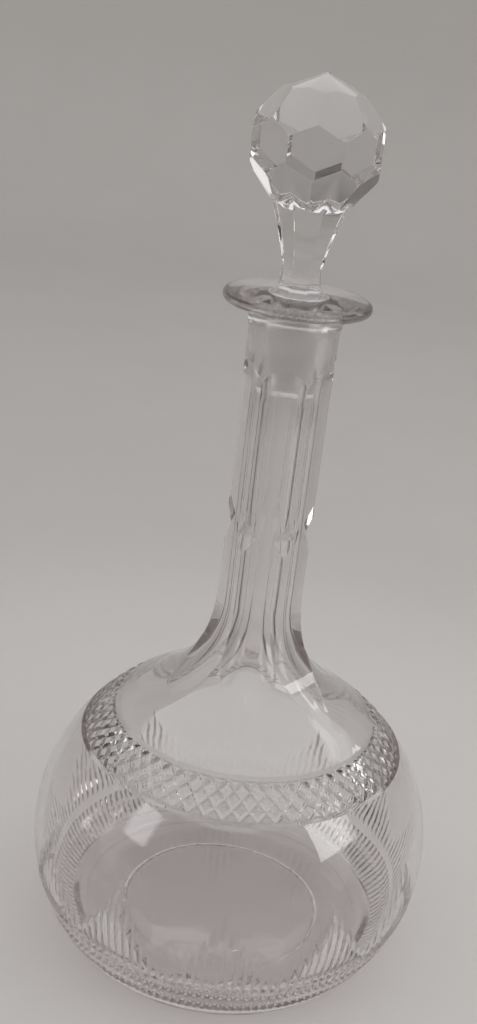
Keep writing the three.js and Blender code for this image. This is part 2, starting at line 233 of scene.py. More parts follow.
def open_ring(mesh, point):
    """The open edges of a mesh that run round the axis through a point of its outline."""
    def on_ring(vert):
        radius, height, _ = place_of(vert)
        return abs(radius - point.x) < 10 * TOUCHING and abs(height - point.y) < 10 * TOUCHING

    return [e for e in mesh.edges if e.is_boundary and all(on_ring(v) for v in e.verts)]


def bridge(mesh, lower, upper):
    """Closes the gap between two open rings."""
    rings = open_ring(mesh, lower) + open_ring(mesh, upper)
    bmesh.ops.bridge_loops(mesh, edges=rings)


# %% [markdown]
# Round the foot a fringe of V cuts stands up in twelve pointed tufts, each cut
# made by touching the turning bottle to a mitre wheel. A cut is deepest in the
# middle of its length and comes to a point where the wheel leaves the glass.

# %% Cuts of the fringe
CUTS_ROUND = 144
TUFTS_ROUND = 12
CUT_DEPTH = 0.75
TUFT_TOP = 58.0
TUFT_VALLEY = 30.0
TUFT_SWEEP = 1.45
TIP_LENGTH = 8.0
CUT_FOOT = 22.3
CUT_FOOT_LENGTH = 3.0


def tuft_height(cut):
    """Height of the tip of a cut, which falls away on both sides of the middle of a tuft."""
    cuts_in_tuft = CUTS_ROUND // TUFTS_ROUND
    from_middle = abs((cut + cuts_in_tuft // 2) % cuts_in_tuft - cuts_in_tuft // 2)
    share = from_middle / (cuts_in_tuft / 2)
    return TUFT_VALLEY + (TUFT_TOP - TUFT_VALLEY) * (1 - share) ** TUFT_SWEEP


def run_out(distance, length):
    """Depth of a wheel cut as a share, at a distance from where the wheel leaves the glass."""
    share = min(1, max(0, distance / length))
    return 1 - (1 - share) ** 2


print("tufts rise to", [round(tuft_height(cut), 1) for cut in range(CUTS_ROUND // TUFTS_ROUND)])

# %% [markdown]
# Under the fringe, three cuts that run right round cross short upright ones and
# leave two rows of beads.
# The belt is spun with six columns to a cut, and each vertex is then sunk by
# the depth of the deepest cut that passes over it. That keeps the points and
# the ridges true, where a cutter tool for each of 144 cuts would be slow.

# %% Belt of the beads and the fringe
COLUMNS_PER_CUT = 6
FRINGE_END = 61.0
FRINGE_TURN = math.radians(5.3)
BEAD_BORDERS = (6.6, 13, 19.4)
BEAD_BORDER_HALF = 1.25
BEAD_BORDER_DEPTH = 0.75
PLAIN_FOOT_ROWS = (3.0, 4.3, 21.5)
CUT_FOOT_SPACING = 1.0
FRINGE_SPACING = 1.35
FRINGE_LEAD = 1.3


def upright_cut(height, turn):
    """Depth of the V cut that passes over a point of the belt."""
    pitch = math.tau / CUTS_ROUND
    cut = round(turn / pitch)
    across = abs(turn - cut * pitch) / (pitch / 2)
    if height > CUT_FOOT:
        full = run_out(tuft_height(cut) - height, TIP_LENGTH)
        full *= run_out(height - CUT_FOOT, CUT_FOOT_LENGTH)
    else:
        inside = BEAD_BORDERS[0] < height < BEAD_BORDERS[-1]
        full = 1.0 if inside else 0.0
    return CUT_DEPTH * max(0, full - across)


def border_cut(height):
    """Depth of the three cuts that run round the foot."""
    nearest = min(abs(height - border) for border in BEAD_BORDERS)
    return BEAD_BORDER_DEPTH * max(0, 1 - nearest / BEAD_BORDER_HALF)


def foot_heights():
    """Heights of the rows at the foot, which follow the sides and bottom of each border."""
    heights = list(PLAIN_FOOT_ROWS)
    for border in BEAD_BORDERS:
        heights += [border - BEAD_BORDER_HALF, border, border + BEAD_BORDER_HALF]
    heights += [(lower + upper) / 2 for lower, upper in zip(BEAD_BORDERS, BEAD_BORDERS[1:])]
    return sorted(heights)


def fringe_belt():
    full_depth = CUT_FOOT + CUT_FOOT_LENGTH
    rows = [at(globe(height), height) for height in foot_heights()]
    rows += globe_rows(CUT_FOOT, full_depth, CUT_FOOT_SPACING)
    rows += globe_rows(full_depth + FRINGE_LEAD, FRINGE_END, FRINGE_SPACING)
    belt = spun(rows, CUTS_ROUND * COLUMNS_PER_CUT, FRINGE_TURN)
    for vert in belt.verts:
        radius, height, turn = place_of(vert)
        depth = max(upright_cut(height, turn - FRINGE_TURN), border_cut(height))
        put(vert, radius - depth, turn)
    return belt


fringe_start = at(globe(PLAIN_FOOT_ROWS[0]), PLAIN_FOOT_ROWS[0])
fringe_end = at(globe(FRINGE_END), FRINGE_END)
add_to(bottle, fringe_belt())
bridge(bottle, underside_outline[-1], fringe_start)
print("fringe", len(bottle.faces), "faces so far")

# %% [markdown]
# The plain side of the globe leads up to the diamond band. The band is cut with
# two sets of slanted V cuts that cross, and what stands between them are flat
# topped diamonds. A row of squares is poked, which puts a vertex in the middle
# of each. Dissolving the sides of the squares leaves the slanted net. An inset
# of every diamond then makes the V cuts: the net lies at the bottom of the cuts
# and the inner edge of each inset stands at the surface of the glass.

# %% Diamond band
DIAMONDS_ROUND = 60
BAND_BOTTOM = 84.1
BAND_TOP = 93.95
BAND_LINE = 0.95
DIAMOND_DEPTH = 0.8
DIAMOND_SLOPE = 1.15
HALF_DIAMOND_SLOPE = 0.85
SIDE_START = FRINGE_END + 1.2
SIDE_SPACING = 1.8
SLOPE_STEP = 0.1


def sunk_globe(height, depth):
    """Point of the globe at a height, pushed in square to its surface."""
    below, above = [at(globe(near), near) for near in (height - SLOPE_STEP, height + SLOPE_STEP)]
    along = (above - below).normalized()
    return at(globe(height), height) + depth * at(-along.y, along.x)


def diamond_belt():
    edges = (BAND_BOTTOM, BAND_TOP)
    angles = [math.asin((height - EQUATOR_HEIGHT) / CROWN_HEIGHT) for height in edges]
    middle = EQUATOR_HEIGHT + CROWN_HEIGHT * math.sin(sum(angles) / 2)
    rows = [at(globe(height), height) for height in (BAND_BOTTOM, middle, BAND_TOP)]
    belt = spun(rows, DIAMONDS_ROUND)
    net = [edge for edge in belt.edges if not edge.is_boundary]
    poked = bmesh.ops.poke(belt, faces=belt.faces)
    for vert in poked["verts"]:
        _, height, turn = place_of(vert)
        put(vert, globe(height), turn)
    bmesh.ops.dissolve_edges(belt, edges=net, use_verts=False)
    for vert in belt.verts:
        _, height, turn = place_of(vert)
        sunk = sunk_globe(height, DIAMOND_DEPTH)
        vert.co.z = sunk.y
        put(vert, sunk.x, turn)
    bmesh.ops.recalc_face_normals(belt, faces=belt.faces)
    whole = [face for face in belt.faces if len(face.verts) == 4]
    halved = [face for face in belt.faces if len(face.verts) == 3]
    for faces, slope in ((whole, DIAMOND_SLOPE), (halved, HALF_DIAMOND_SLOPE)):
        bmesh.ops.inset_individual(
            belt, faces=faces, thickness=slope, depth=DIAMOND_DEPTH, use_even_offset=True)
    return belt


band_lower = sunk_globe(BAND_BOTTOM, DIAMOND_DEPTH)
band_upper = sunk_globe(BAND_TOP, DIAMOND_DEPTH)
side_rows = globe_rows(SIDE_START, BAND_BOTTOM - BAND_LINE, SIDE_SPACING)
add_to(bottle, spun(side_rows, ROUND_COLUMNS))
bridge(bottle, fringe_end, side_rows[0])
add_to(bottle, diamond_belt())
bridge(bottle, side_rows[-1], band_lower)
print("band", len(bottle.faces), "faces so far")

# %% [markdown]
# The shoulder sweeps up from the globe into the neck. The curve leaves the
# globe in the direction that the globe has there, so that no line shows where
# they meet.

# %% Outline of the shoulder and neck
SHOULDER_RADIUS = 42
SHOULDER_LEAD = 26
NECK_RADIUS = 15.2
NECK_START = 148
NECK_LEAD = 25

crown_rise = math.sqrt(1 - (SHOULDER_RADIUS / BODY_RADIUS) ** 2)
shoulder_start = at(SHOULDER_RADIUS, EQUATOR_HEIGHT + CROWN_HEIGHT * crown_rise)
crown_way = at(-BODY_RADIUS * crown_rise, CROWN_HEIGHT * SHOULDER_RADIUS / BODY_RADIUS)
shoulder_line = [
    shoulder_start,
    shoulder_start + SHOULDER_LEAD * crown_way.normalized(),
    at(NECK_RADIUS, NECK_START - NECK_LEAD),
    at(NECK_RADIUS, NECK_START)]
shoulder_points = curve_points(shoulder_line, steps=120)


def radius_on(points, height):
    """Radius of a rising outline at a height."""
    for lower, upper in zip(points, points[1:]):
        if height <= upper.y:
            share = (height - lower.y) / (upper.y - lower.y)
            return lower.lerp(upper, share).x
    return points[-1].x


def round_neck(height):
    """Radius of the shoulder and neck before the flutes are ground."""
    return globe(height) if height < shoulder_start.y else radius_on(shoulder_points, height)


print("shoulder starts at", round(shoulder_start.y, 1), "mm")

# %% [markdown]
# Six flat flutes are ground up the neck, so that it is six-sided there. At the
# bottom each flute runs out on the shoulder as a petal, and at the top it curls
# out of the glass as an arch. A flute is given by the radius at which its flat
# would meet the next one in a ridge: past the glass there is no flat yet, and
# just inside the glass the ridge is sharp.

# %% Depth of the flutes
FLUTES = 6
HALF_FLUTE = math.pi / FLUTES
RIDGE_TRIM = 0.15
PETAL_END = 105
RIDGE_END = 122
ARCH_START = 220
ARCH_END = 231

ridge_radius = NECK_RADIUS - RIDGE_TRIM
past_neck = NECK_RADIUS / math.cos(HALF_FLUTE) + RIDGE_TRIM
arch_middle = (ARCH_START + ARCH_END) / 2
arch_line = [
    at(ridge_radius, ARCH_START), at(ridge_radius, arch_middle),
    at(past_neck, arch_middle), at(past_neck, ARCH_END)]
arch_points = curve_points(arch_line, steps=20)


def flute_depth(height):
    """Distance from the axis to the flat of a flute, or None where there is none."""
    if not PETAL_END < height < ARCH_END:
        return None
    wide = round_neck(height) / math.cos(HALF_FLUTE) + RIDGE_TRIM
    sharp = round_neck(height) - RIDGE_TRIM
    if height < RIDGE_END:
        share = (height - PETAL_END) / (RIDGE_END - PETAL_END)
        corner = wide + (sharp - wide) * share
    elif height <= ARCH_START:
        corner = sharp
    else:
        corner = radius_on(arch_points, height)
    return corner * math.cos(HALF_FLUTE)


print("flats lie", round(flute_depth(NECK_START), 2), "mm from the axis")

# %% [markdown]
# Halfway up, every ridge between two flutes has a V notch, which runs out on
# the flats at its two corners.
# Flats and round parts meet at a crisp line that no plain spin would hit. So
# each sixth of the belt has a set number of columns for the flat, and at every
# height these columns are drawn together or apart until the last one lies on
# that line. Where a flat or a round part has no width, its columns merge.
# Where the belt curves it needs close rows: each entry of CURVED_NECK_ROWS is a
# first height, a spacing and a number of rows.

# %% Belt of the shoulder and the fluted neck
NOTCH_HEIGHT = 167.5
NOTCH_LENGTH = 14
NOTCH_DEPTH = 2.3
FLAT_COLUMNS = 11
SIDE_COLUMNS = 24
PLAIN_NECK_ROWS = (NECK_START + 4, 190, 207)
CURVED_NECK_ROWS = (
    (BAND_TOP + BAND_LINE, 1.4, 8), (PETAL_END, 0.25, 9),
    (PETAL_END + 2.75, 0.75, 19), (RIDGE_END, 1.3, 20))

notch_bottom = NECK_RADIUS - NOTCH_DEPTH - RIDGE_TRIM
notch_reach = NOTCH_LENGTH / 2 * NOTCH_DEPTH / (NOTCH_DEPTH + RIDGE_TRIM)
notch_half_width = (ridge_radius - notch_bottom) / math.tan(HALF_FLUTE)
notch_half_turn = math.atan2(notch_half_width, notch_bottom)


def set_column(vert):
    """Moves a vertex of the evenly spun belt to its place on a flat, a notch or the round part."""
    radius, height, turn = place_of(vert)
    flute = round(turn / (2 * HALF_FLUTE))
    from_middle = turn - flute * 2 * HALF_FLUTE
    column = round(abs(from_middle) / HALF_FLUTE * SIDE_COLUMNS)
    side = math.copysign(1, from_middle)
    flat = flute_depth(height)
    meeting = 0.0
    if flat is not None and flat < radius:
        meeting = min(HALF_FLUTE, math.acos(flat / radius))
    notched = abs(height - NOTCH_HEIGHT) < TOUCHING
    if notched:
        meeting = HALF_FLUTE - notch_half_turn
    if column <= FLAT_COLUMNS:
        offset = meeting * column / FLAT_COLUMNS
        radius = flat / math.cos(offset) if meeting > 0 else radius
    elif notched:
        offset = HALF_FLUTE
        radius = notch_bottom
    else:
        share = (column - FLAT_COLUMNS) / (SIDE_COLUMNS - FLAT_COLUMNS)
        offset = meeting + (HALF_FLUTE - meeting) * share
        radius = min(radius, flat / math.cos(offset)) if meeting > 0 else radius
    put(vert, radius, flute * 2 * HALF_FLUTE + side * offset)


def neck_rows():
    """Outline of the belt, with a row wherever a flute, a notch or the shoulder needs one."""
    heights = list(PLAIN_NECK_ROWS)
    for start, spacing, count in CURVED_NECK_ROWS:
        heights += [start + spacing * step for step in range(count)]
    heights += [NOTCH_HEIGHT - notch_reach, NOTCH_HEIGHT, NOTCH_HEIGHT + notch_reach]
    heights += [point.y for point in arch_points]
    return [at(round_neck(height), height) for height in sorted(set(heights))]


neck_outline = neck_rows()
neck = spun(neck_outline, 2 * FLUTES * SIDE_COLUMNS)
for vert in neck.verts:
    set_column(vert)
bmesh.ops.remove_doubles(neck, verts=neck.verts, dist=2 * TOUCHING)
add_to(bottle, neck)
bridge(bottle, band_upper, neck_outline[0])
print("neck", len(bottle.faces), "faces so far")

# %% [markdown]
# The mouth flares out to a flat lip with a round edge. In its middle is the
# hole for the stopper, which is a little wider than the plug that goes into it.
# The lip was shaped hot and not cut, so its outline is a smooth curve below and
# half a circle at the edge.

# %% Outline of the lip
MOUTH_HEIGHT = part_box("bottle")[1].z / MM
LIP_RADIUS = 24.9
LIP_THICKNESS = 4.2
LIP_FLARE = 10
LIP_STEPS = 10
LIP_ROW = 17
FLARE_START = MOUTH_HEIGHT - LIP_THICKNESS - LIP_FLARE
ARCH_LEAD = 1.5
PLUG_TOP_RADIUS = 9.4
SEAT_CLEARANCE = 0.3
SEAT_BEVEL_WIDTH, SEAT_BEVEL_DEPTH = 0.5, 0.4


def lip_outline():
    edge = LIP_THICKNESS / 2
    under = MOUTH_HEIGHT - LIP_THICKNESS
    flare = [at(NECK_RADIUS, FLARE_START), at(NECK_RADIUS, under), at(LIP_RADIUS - edge, under)]
    start = [at(NECK_RADIUS, ARCH_END + ARCH_LEAD)]
    rim = []
    for step in range(1, LIP_STEPS):
        bend = math.pi * step / LIP_STEPS
        out = LIP_RADIUS - edge + edge * math.sin(bend)
        rim.append(at(out, MOUTH_HEIGHT - edge - edge * math.cos(bend)))
    seat_edge = PLUG_TOP_RADIUS + SEAT_CLEARANCE + SEAT_BEVEL_WIDTH
    top = level_rows((LIP_RADIUS - edge, LIP_ROW, seat_edge), MOUTH_HEIGHT)
    return start + curve_points(flare, steps=10) + rim + top


print("mouth at", round(MOUTH_HEIGHT, 2), "mm, lip", 2 * LIP_RADIUS, "mm wide")

# %% [markdown]
# Inside the mouth the neck is ground to a tapered seat, and below that the bore
# opens into the cavity. The cavity follows the globe at the thickness of the
# wall, and ends on a flat floor that is thicker than the wall. A Solidify
# modifier could make the wall, but it would press every cut through to the
# inside, which is smooth. So the inside has an outline of its own.

# %% Outline of the inside
PLUG_LENGTH = 33.5
PLUG_END_RADIUS = 7.5
SEAT_END_GAP = 1.5
SEAT_STEPS = 7
BORE_RADIUS = 8
BORE_END = 138
BORE_LEAD = 18
BORE_ROWS = (196, 178, 158)
BODY_WALL = 3.8
SHOULDER_WALL = 4.4
CAVITY_STEPS = 26
FLOOR_THICKNESS = 7.5
FLOOR_RADIUS = 44
FLOOR_BEND = 18.5
FLOOR_ROWS = (34, 24, 12, 0)


def plug_radius(depth):
    """Radius of the tapered plug at a depth below the mouth."""
    return PLUG_TOP_RADIUS + (PLUG_END_RADIUS - PLUG_TOP_RADIUS) * depth / PLUG_LENGTH


def inside_outline():
    seat_depth = PLUG_LENGTH + SEAT_END_GAP
    seat = []
    for step in range(SEAT_STEPS + 1):
        depth = SEAT_BEVEL_DEPTH + (seat_depth - SEAT_BEVEL_DEPTH) * step / SEAT_STEPS
        seat.append(at(plug_radius(depth) + SEAT_CLEARANCE, MOUTH_HEIGHT - depth))
    radius = SHOULDER_RADIUS - SHOULDER_WALL
    wide = BODY_RADIUS - BODY_WALL
    rise = math.sqrt(1 - (radius / wide) ** 2)
    start = at(radius, EQUATOR_HEIGHT + (CROWN_HEIGHT - BODY_WALL) * rise)
    way = at(-wide * rise, (CROWN_HEIGHT - BODY_WALL) * radius / wide).normalized()
    throat = [
        at(BORE_RADIUS, BORE_END),
        at(BORE_RADIUS, BORE_END - BORE_LEAD),
        start + BORE_LEAD * way,
        start]
    bore_top = MOUTH_HEIGHT - seat_depth - SEAT_END_GAP
    bore = [at(BORE_RADIUS, height) for height in (bore_top, *BORE_ROWS)]
    fall = FLOOR_BEND - start.y
    heights = [start.y + fall * step / CAVITY_STEPS for step in range(1, CAVITY_STEPS)]
    cavity = [at(globe(height, BODY_WALL), height) for height in heights]
    bend = [
        at(globe(FLOOR_BEND, BODY_WALL), FLOOR_BEND),
        at(globe(FLOOR_THICKNESS, BODY_WALL) - BODY_WALL, FLOOR_THICKNESS),
        at(FLOOR_RADIUS, FLOOR_THICKNESS)]
    floor = curve_points(bend, steps=8) + level_rows(FLOOR_ROWS, FLOOR_THICKNESS)
    return seat + bore + curve_points(throat, steps=26) + cavity + floor


inside = inside_outline()
print("inside has", len(inside), "rows, down to", inside[-1].y, "mm")

# %% [markdown]
# The wheel never touched the inside: it is as the breath left it. So its wall
# gets the slow waves of blown glass, which bend what is seen through it. With
# the lip and the inside joined on, the bottle is one closed shell.

# %% Turn the lip and the blown inside
WAVE_DEPTH = 0.16
WAVE_SPACING = 22.0
POLE_RADIUS = 1


def blow_waves(mesh):
    """Gives the wall of the cavity the slow unevenness of blown glass."""
    for vert in mesh.verts:
        radius, height, turn = place_of(vert)
        if height < BORE_END and radius > POLE_RADIUS:
            wave = noise.noise(vert.co / WAVE_SPACING)
            put(vert, radius + WAVE_DEPTH * wave * min(1, radius / BORE_RADIUS - 1), turn)


mouth_outline = lip_outline() + inside
mouth = spun(mouth_outline, ROUND_COLUMNS)
blow_waves(mouth)
add_to(bottle, mouth)
bridge(bottle, neck_outline[-1], mouth_outline[0])
print("whole bottle", len(bottle.faces), "faces")

# %% [markdown]
# Not all of the bottle is polished. The seat is left matt from the abrasive
# that ground it. Years of use have rubbed the edge of the lip, and a little the
# standing ring. Both are stored as values on the vertices, which the glass
# reads. So the bottle stays one closed mesh with one glass, as the real one is.

# %% Mark the ground and rubbed places
GROUND, RUBBED = "ground", "rubbed"
RING_WEAR = 0.2
NEAR_RING = 0.5


def mark(mesh, name, rule):
    """Stores what a rule gives for each vertex, from its radius and height."""
    layer = mesh.verts.layers.float.new(name)
    for vert in mesh.verts:
        radius, height, _ = place_of(vert)
        vert[layer] = rule(radius, height)


def on_seat(radius, height):
    seat_end = MOUTH_HEIGHT - PLUG_LENGTH - SEAT_END_GAP
    return float(radius < PLUG_TOP_RADIUS + 2 * SEAT_CLEARANCE and height > seat_end)


def on_rubbed_edge(radius, height):
    on_lip = radius > LIP_RADIUS - LIP_THICKNESS / 3 and height > MOUTH_HEIGHT - LIP_THICKNESS
    on_ring = HOLLOW_RADIUS - NEAR_RING < radius < FOOT_RADIUS and height < NEAR_RING
    return 1.0 if on_lip else RING_WEAR * on_ring


mark(bottle, GROUND, on_seat)
mark(bottle, RUBBED, on_rubbed_edge)
print("marked", len(bottle.verts), "vertices")

# %% [markdown]
# The wheel leaves crisp edges between its cuts, and the breath leaves none. So
# all faces are shaded smooth, but edges that bend by more than a set angle stay
# sharp. The mesh then becomes an object at its real size in metres.

# %% Finish the bottle
CRISP_ANGLE = math.radians(17)


def finish_piece(mesh, name):
    """Makes the mesh a piece in metres, smooth but for the edges that the wheel left sharp."""
    bmesh.ops.recalc_face_normals(mesh, faces=mesh.faces)
    for face in mesh.faces:
        face.smooth = True
    for edge in mesh.edges:
        edge.smooth = edge.calc_face_angle(math.pi) < CRISP_ANGLE
    bmesh.ops.scale(mesh, vec=(MM, MM, MM), verts=mesh.verts)
    open_edges = sum(not edge.is_manifold for edge in mesh.edges)
    volume = mesh.calc_volume() / MM ** 3 / 1000
    data = bpy.data.meshes.new(name)
    mesh.to_mesh(data)
    mesh.free()
    data.calc_loop_triangles()
    piece = bpy.data.objects.new(name, data)
    bpy.context.scene.collection.objects.link(piece)
    print(name, len(data.loop_triangles), "triangles,", open_edges, "open edges,",
          round(volume, 1), "cm3 of glass")
    return piece


decanter_bottle = finish_piece(bottle, "decanter_bottle")

# %% [markdown]
# The stopper is one piece. Its ball is ground flat in five rows of eight facets,
# made here as a grinder does it: a block is cut by one flat after the other,
# each at its own tilt and distance from the centre.

# %% Ball of the stopper
STOPPER_TURN = math.radians(1.5)
BALL_RADIUS = 22.6
BALL_HEIGHT = 46.8
FACETS = 8
BELT_CUT = 2.11
SIDE_CUT, SIDE_TILT = 2.47, math.radians(53)
CROWN_CUT, CROWN_TILT = 1.82, math.radians(23)


def grind_flat(mesh, turn, tilt, cut):
    """Cuts off all that stands out beyond one facet, and closes the ball with it."""
    facing = Matrix.Rotation(turn, 3, "Z") @ Matrix.Rotation(tilt, 3, "X") @ Vector((0, 0, 1))
    around = mesh.verts[:] + mesh.edges[:] + mesh.faces[:]
    bmesh.ops.bisect_plane(
        mesh, geom=around, dist=TOUCHING, plane_co=facing * (BALL_RADIUS - cut),
        plane_no=facing, clear_outer=True)
    bmesh.ops.holes_fill(mesh, edges=[edge for edge in mesh.edges if edge.is_boundary])


ball = bmesh.new()
bmesh.ops.create_cube(ball, size=3 * BALL_RADIUS)
for facet in range(FACETS):
    facet_turn = STOPPER_TURN + facet * math.tau / FACETS
    between = facet_turn + math.pi / FACETS
    grind_flat(ball, facet_turn, math.radians(90), BELT_CUT)
    grind_flat(ball, between, SIDE_TILT, SIDE_CUT)
    grind_flat(ball, between, math.pi - SIDE_TILT, SIDE_CUT)
    grind_flat(ball, facet_turn, CROWN_TILT, CROWN_CUT)
    grind_flat(ball, facet_turn, math.pi - CROWN_TILT, CROWN_CUT)
bmesh.ops.remove_doubles(ball, verts=ball.verts, dist=10 * TOUCHING)
bmesh.ops.translate(ball, verts=ball.verts, vec=(0, 0, BALL_HEIGHT))
print("ball", len(ball.faces), "facets")

# %% [markdown]
# The stem has eight hollow-ground sides whose ridges run into the lower facets
# of the ball. The plug under it is a plain ground cone. A spin of only eight
# steps gives the flat sides of the stem, and one of many steps the round plug.

# %% Stem and plug of the stopper
STEM_WAIST_RADIUS = 7.2
STEM_WAIST_HEIGHT = 8
STEM_FOOT_LEAD = 6
STEM_FLARE_LEAD = 6
STEM_END_RADIUS = 13.8
STEM_FOOT_RADIUS = 9.2
PLUG_ROUNDING = 1.2
PLUG_COLUMNS = 96
PLUG_ROWS = (0.35, 8, 16, 24)
PLUG_STEP = 0.05


def stem_outline():
    """The ridge of the stem, from inside the ball down to the mouth."""
    reach = BALL_RADIUS - SIDE_CUT - STEM_END_RADIUS * math.sin(SIDE_TILT)
    end = at(STEM_END_RADIUS, BALL_HEIGHT - reach / math.cos(SIDE_TILT))
    waist = at(STEM_WAIST_RADIUS, STEM_WAIST_HEIGHT)
    flare = [end, at(STEM_WAIST_RADIUS, STEM_WAIST_HEIGHT + STEM_FLARE_LEAD), waist]
    foot = [
        waist,
        at(STEM_WAIST_RADIUS, STEM_WAIST_HEIGHT - STEM_FOOT_LEAD),
        at(STEM_FOOT_RADIUS, 0)]
    return [at(0, BALL_HEIGHT)] + curve_points(flare, steps=16) + curve_points(foot, steps=8)[1:]


def plug_outline():
    end = PLUG_LENGTH - PLUG_ROUNDING
    rounding = [
        at(plug_radius(end), -end),
        at(plug_radius(PLUG_LENGTH), -PLUG_LENGTH),
        at(PLUG_END_RADIUS - PLUG_ROUNDING, -PLUG_LENGTH)]
    top = [at(PLUG_TOP_RADIUS - PLUG_STEP, 0)]
    taper = [at(plug_radius(depth), -depth) for depth in PLUG_ROWS]
    return top + taper + curve_points(rounding, steps=4) + level_rows((3, 0), -PLUG_LENGTH)


stem_line, plug_line = stem_outline(), plug_outline()
stem = spun(stem_line, FACETS, STOPPER_TURN + math.pi / FACETS)
add_to(stem, spun(plug_line, PLUG_COLUMNS, STOPPER_TURN))
bridge(stem, stem_line[-1], plug_line[0])
print("stem and plug", len(stem.faces), "faces")

# %% [markdown]
# The top of the stem stands inside the ball. In glass such an inner wall would
# show, so the two closed shapes are made one by a union, which also finds the
# line where the ridges of the stem run into the facets.

# %% Join the ball and the stem
def joined(first, second):
    """Two closed shapes as one, without what lies inside the other."""
    halves = []
    for mesh in (first, second):
        bmesh.ops.recalc_face_normals(mesh, faces=mesh.faces)
        data = bpy.data.meshes.new("half")
        mesh.to_mesh(data)
        mesh.free()
        half = bpy.data.objects.new("half", data)
        bpy.context.scene.collection.objects.link(half)
        halves.append(half)
    union = halves[0].modifiers.new("union", "BOOLEAN")
    union.operation = "UNION"
    union.solver = "EXACT"
    union.object = halves[1]
    whole = bmesh.new()
    whole.from_object(halves[0], bpy.context.evaluated_depsgraph_get())
    for half in halves:
        data = half.data
        bpy.data.objects.remove(half)
        bpy.data.meshes.remove(data)
    return whole


stopper = joined(ball, stem)
bmesh.ops.remove_doubles(stopper, verts=stopper.verts, dist=10 * TOUCHING)
print("stopper", len(stopper.faces), "faces before its arrises are eased")

# %% [markdown]
# No arris of real cut glass is quite sharp: polishing eases it to a thin bright
# line. A narrow bevel on the edges of the ball and the stem gives that line.

# %% Ease the arrises and finish the stopper
ARRIS_WIDTH = 0.12
EASED_ABOVE = 0.5
MATT_BELOW = -0.2
POLISHED_TIP = 0.5

bmesh.ops.recalc_face_normals(stopper, faces=stopper.faces)
arrises = [
    edge for edge in stopper.edges
    if edge.calc_face_angle(0) > CRISP_ANGLE and min(v.co.z for v in edge.verts) > EASED_ABOVE]
bmesh.ops.bevel(
    stopper, geom=arrises, offset=ARRIS_WIDTH, offset_type="OFFSET", segments=1,
    profile=0.5, affect="EDGES", material=-1, clamp_overlap=True)


def on_plug(radius, height):
    return float(POLISHED_TIP - PLUG_LENGTH < height < MATT_BELOW)


mark(stopper, GROUND, on_plug)
mark(stopper, RUBBED, lambda radius, height: 0.0)
bmesh.ops.translate(stopper, verts=stopper.verts, vec=(0, 0, MOUTH_HEIGHT))
decanter_stopper = finish_piece(stopper, "decanter_stopper")

# %% [markdown]
# Old clear glass is not quite colourless. This one has a faint grey mauve cast
# that deepens where the glass is thick, so the cast is an absorption inside the
# glass and not a colour on it. Its surface is polished, but never perfect: slow
# waves from the polishing wheel, a film of finger marks, and matt grain where
# it is ground. One node group works those out from the object's own
# coordinates and from the two values on the vertices, for both pieces.

# %% Helpers for nodes
def link_maths(tree, operation, first, second):
    """A Math node between two values, each a socket or a plain number."""
    node = tree.nodes.new("ShaderNodeMath")
    node.operation = operation
    for socket, value in zip(node.inputs, (first, second)):
        if isinstance(value, bpy.types.NodeSocket):
            tree.links.new(value, socket)
        else:
            socket.default_value = value
    return node.outputs[0]


def noise_value(tree, vector, scale, detail, roughness=0.5):
    """A cloudy pattern from 0 to 1."""
    node = tree.nodes.new("ShaderNodeTexNoise")
    node.inputs["Scale"].default_value = scale
    node.inputs["Detail"].default_value = detail
    node.inputs["Roughness"].default_value = roughness
    tree.links.new(vector, node.inputs["Vector"])
    return node.outputs["Fac"]


def ramp(tree, value, low, high):
    """The value from 0 at low to 1 at high, smoothed and held at both ends."""
    node = tree.nodes.new("ShaderNodeMapRange")
    node.interpolation_type = "SMOOTHSTEP"
    node.inputs["From Min"].default_value = low
    node.inputs["From Max"].default_value = high
    tree.links.new(value, node.inputs["Value"])
    return node.outputs["Result"]


def linked_mix(tree, factor, first, second):
    """A colour between two, each a socket or a plain colour."""
    node = tree.nodes.new("ShaderNodeMix")
    node.data_type = "RGBA"
    tree.links.new(factor, node.inputs["Factor"])
    for name, value in (("A", first), ("B", second)):
        if isinstance(value, bpy.types.NodeSocket):
            tree.links.new(value, node.inputs[name])
        else:
            node.inputs[name].default_value = value
    return node.outputs["Result"]


# %% [markdown]
# The group puts out three things. The tint is almost white where the glass is
# polished and greyer where it is ground or worn. The roughness adds up from the
# polish, the grinding, the wear and the finger marks. The height, in metres,
# holds the waves of the polish and the grain of the matt places.

# %% Node group for the surface of the glass
POLISHED_TINT = (0.992, 0.988, 0.99, 1)
GROUND_TINT = (0.97, 0.965, 0.965, 1)
WORN_TINT = (0.5, 0.48, 0.48, 1)
POLISHED_ROUGHNESS, GROUND_ROUGHNESS, WORN_ROUGHNESS = 0.008, 0.2, 0.25
GRAIN_HEIGHT = 0.00004
WORN_GRAIN = 0.2


